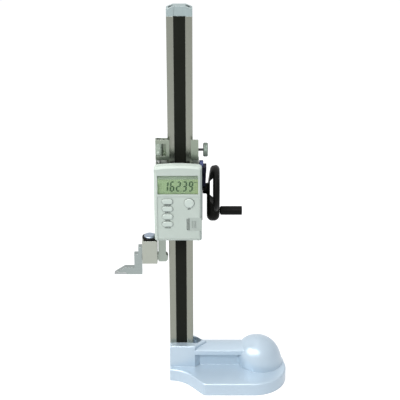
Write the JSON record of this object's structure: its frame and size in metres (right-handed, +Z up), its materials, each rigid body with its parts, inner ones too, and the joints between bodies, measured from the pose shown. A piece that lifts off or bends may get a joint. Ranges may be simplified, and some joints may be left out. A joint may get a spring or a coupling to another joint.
{
  "type": "height gauge",
  "caption": "Digital height gauge: column with rack on a cast base with palm grip, geared slider with display, dished crank wheel, fine-feed carriage and clamped scriber.",
  "frame": {"origin": "on the resting plane of the base, under the middle of the column", "axes": "+Z up along the column, +X along the base away from the scriber towards the palm grip, -Y towards the user, who faces the display"},
  "size_m": [0.2294, 0.101, 0.525],
  "materials": {
    "base_casting": "smooth silver-white enamel, ground underside",
    "column": "ground satin steel",
    "scale_strip": "black scale cover strip",
    "feed_rack": "cut steel rack",
    "column_cap": "satin silver",
    "column_screws": "blackened cap screws",
    "rack_screws": "countersunk screws",
    "cap_screws": "blackened cap screws",
    "slider_frame": "satin chromed steel",
    "gib_leaf": "drawn brass",
    "gib_screws": "blackened set screws",
    "clamp_box": "satin chromed steel",
    "clamp_knob": "polished chrome, knurled edge",
    "clamp_knob_ring": "black nylon",
    "scriber": "ground steel",
    "carbide_tip": "lapped carbide",
    "display_front_cover": "pale grey-green moulding",
    "display_back_shell": "pale grey moulding",
    "lcd_window": "clear pane",
    "lcd_panel": "green-grey liquid crystal cell",
    "circuit_board": "green board",
    "reader_head": "sensor board block",
    "ribbon_link": "flat flexible link",
    "key_domes": "snap domes",
    "battery_cover": "pale grey moulding",
    "battery_cell": "bright cell can",
    "battery_contact": "spring contact",
    "cover_screws": "zinc-plated screws",
    "mount_screws": "zinc-plated screws",
    "drive_housing": "black moulding",
    "housing_screws": "blackened cap screws",
    "pinion_bushes": "sintered bronze",
    "pinion": "cut steel",
    "drive_shaft": "ground steel",
    "crank_wheel": "black moulding",
    "wheel_screw": "blackened cap screw",
    "handle_pin": "turned steel",
    "crank_handle": "black turned grip",
    "slide_lock": "dark chromed knurled screw",
    "lock_pad": "brass pad",
    "carriage_frame": "satin chromed steel",
    "keeper_screw": "blackened set screw",
    "feed_rod": "threaded steel rod",
    "feed_nut": "knurled chromed nut",
    "carriage_clamp": "turned and plated thumb screw",
    "carriage_pad": "brass pad",
    "button_power": "pale grey rubbery key",
    "button_zero": "pale grey rubbery key",
    "button_units": "pale grey rubbery key",
    "button_hold": "pale grey rubbery key",
    "button_set": "pale grey rubbery key"
  },
  "bodies": {
    "stand": {"base_casting": "base_casting", "column": "column", "scale_strip": "scale_strip", "feed_rack": "feed_rack", "column_cap": "column_cap", "column_screws": "column_screws", "rack_screws": "rack_screws", "cap_screws": "cap_screws"},
    "slider": {"slider_frame": "slider_frame", "gib_leaf": "gib_leaf", "gib_screws": "gib_screws", "clamp_box": "clamp_box", "display_front_cover": "display_front_cover", "display_back_shell": "display_back_shell", "lcd_window": "lcd_window", "lcd_panel": "lcd_panel", "circuit_board": "circuit_board", "reader_head": "reader_head", "ribbon_link": "ribbon_link", "key_domes": "key_domes", "battery_cell": "battery_cell", "battery_contact": "battery_contact", "cover_screws": "cover_screws", "mount_screws": "mount_screws", "drive_housing": "drive_housing", "housing_screws": "housing_screws", "pinion_bushes": "pinion_bushes", "lock_pad": "lock_pad", "feed_rod": "feed_rod"},
    "drive": {"crank_wheel": "crank_wheel", "drive_shaft": "drive_shaft", "pinion": "pinion", "wheel_screw": "wheel_screw", "handle_pin": "handle_pin"},
    "handle": {"crank_handle": "crank_handle"},
    "lock": {"slide_lock": "slide_lock"},
    "scriber_arm": {"scriber": "scriber", "carbide_tip": "carbide_tip"},
    "scriber_clamp": {"clamp_knob": "clamp_knob", "clamp_knob_ring": "clamp_knob_ring"},
    "carriage": {"carriage_frame": "carriage_frame", "keeper_screw": "keeper_screw", "carriage_pad": "carriage_pad"},
    "nut": {"feed_nut": "feed_nut"},
    "carriage_screw": {"carriage_clamp": "carriage_clamp"},
    "battery_door": {"battery_cover": "battery_cover"},
    "button_power_body": {"button_power": "button_power"},
    "button_zero_body": {"button_zero": "button_zero"},
    "button_units_body": {"button_units": "button_units"},
    "button_hold_body": {"button_hold": "button_hold"},
    "button_set_body": {"button_set": "button_set"}
  },
  "joints": [
    {"name": "slider_travel", "type": "slide", "parent": "stand", "child": "slider", "axis": [0, 0, 1], "range_m": [-0.16239, 0.13761]},
    {"name": "wheel_turn", "type": "hinge", "parent": "slider", "child": "drive", "pos_m": [0, 0.0137, 0.2754], "axis": [1, 0, 0], "range_deg": [-1035, 878]},
    {"name": "handle_spin", "type": "hinge", "parent": "drive", "child": "handle", "pos_m": [0.06, 0.0137, 0.2431], "axis": [1, 0, 0], "continuous": true},
    {"name": "lock_turn", "type": "hinge", "parent": "slider", "child": "lock", "pos_m": [0.025, 0, 0.3165], "axis": [1, 0, 0], "range_deg": [-90, 270]},
    {"name": "scriber_reach", "type": "slide", "parent": "slider", "child": "scriber_arm", "axis": [-1, 0, 0], "range_m": [0, 0.012]},
    {"name": "scriber_knob_turn", "type": "hinge", "parent": "slider", "child": "scriber_clamp", "pos_m": [-0.04035, -0.009, 0.218], "axis": [0, 0, 1], "range_deg": [0, 360]},
    {"name": "fine_feed", "type": "slide", "parent": "slider", "child": "carriage", "axis": [0, 0, 1], "range_m": [-0.0035, 0.0035]},
    {"name": "nut_turn", "type": "hinge", "parent": "carriage", "child": "nut", "pos_m": [-0.0265, -0.008, 0.3417], "axis": [0, 0, 1], "range_deg": [-1577, 1577]},
    {"name": "carriage_clamp_turn", "type": "hinge", "parent": "carriage", "child": "carriage_screw", "pos_m": [0.03, 0, 0.3365], "axis": [1, 0, 0], "range_deg": [-90, 270]},
    {"name": "battery_door_slide", "type": "slide", "parent": "slider", "child": "battery_door", "axis": [1, 0, 0], "range_m": [0, 0.02]},
    {"name": "button_power_press", "type": "slide", "parent": "slider", "child": "button_power_body", "axis": [0, 1, 0], "range_m": [0, 0.001], "stiffness_N_per_m": 800},
    {"name": "button_zero_press", "type": "slide", "parent": "slider", "child": "button_zero_body", "axis": [0, 1, 0], "range_m": [0, 0.001], "stiffness_N_per_m": 800},
    {"name": "button_units_press", "type": "slide", "parent": "slider", "child": "button_units_body", "axis": [0, 1, 0], "range_m": [0, 0.001], "stiffness_N_per_m": 800},
    {"name": "button_hold_press", "type": "slide", "parent": "slider", "child": "button_hold_body", "axis": [0, 1, 0], "range_m": [0, 0.001], "stiffness_N_per_m": 800},
    {"name": "button_set_press", "type": "slide", "parent": "slider", "child": "button_set_body", "axis": [0, 1, 0], "range_m": [0, 0.001], "stiffness_N_per_m": 800}
  ],
  "couplings": [
    {"joint": "wheel_turn", "follows": "slider_travel", "rad_per_m": 111.11},
    {"joint": "nut_turn", "follows": "fine_feed", "rad_per_m": 7854}
  ]
}
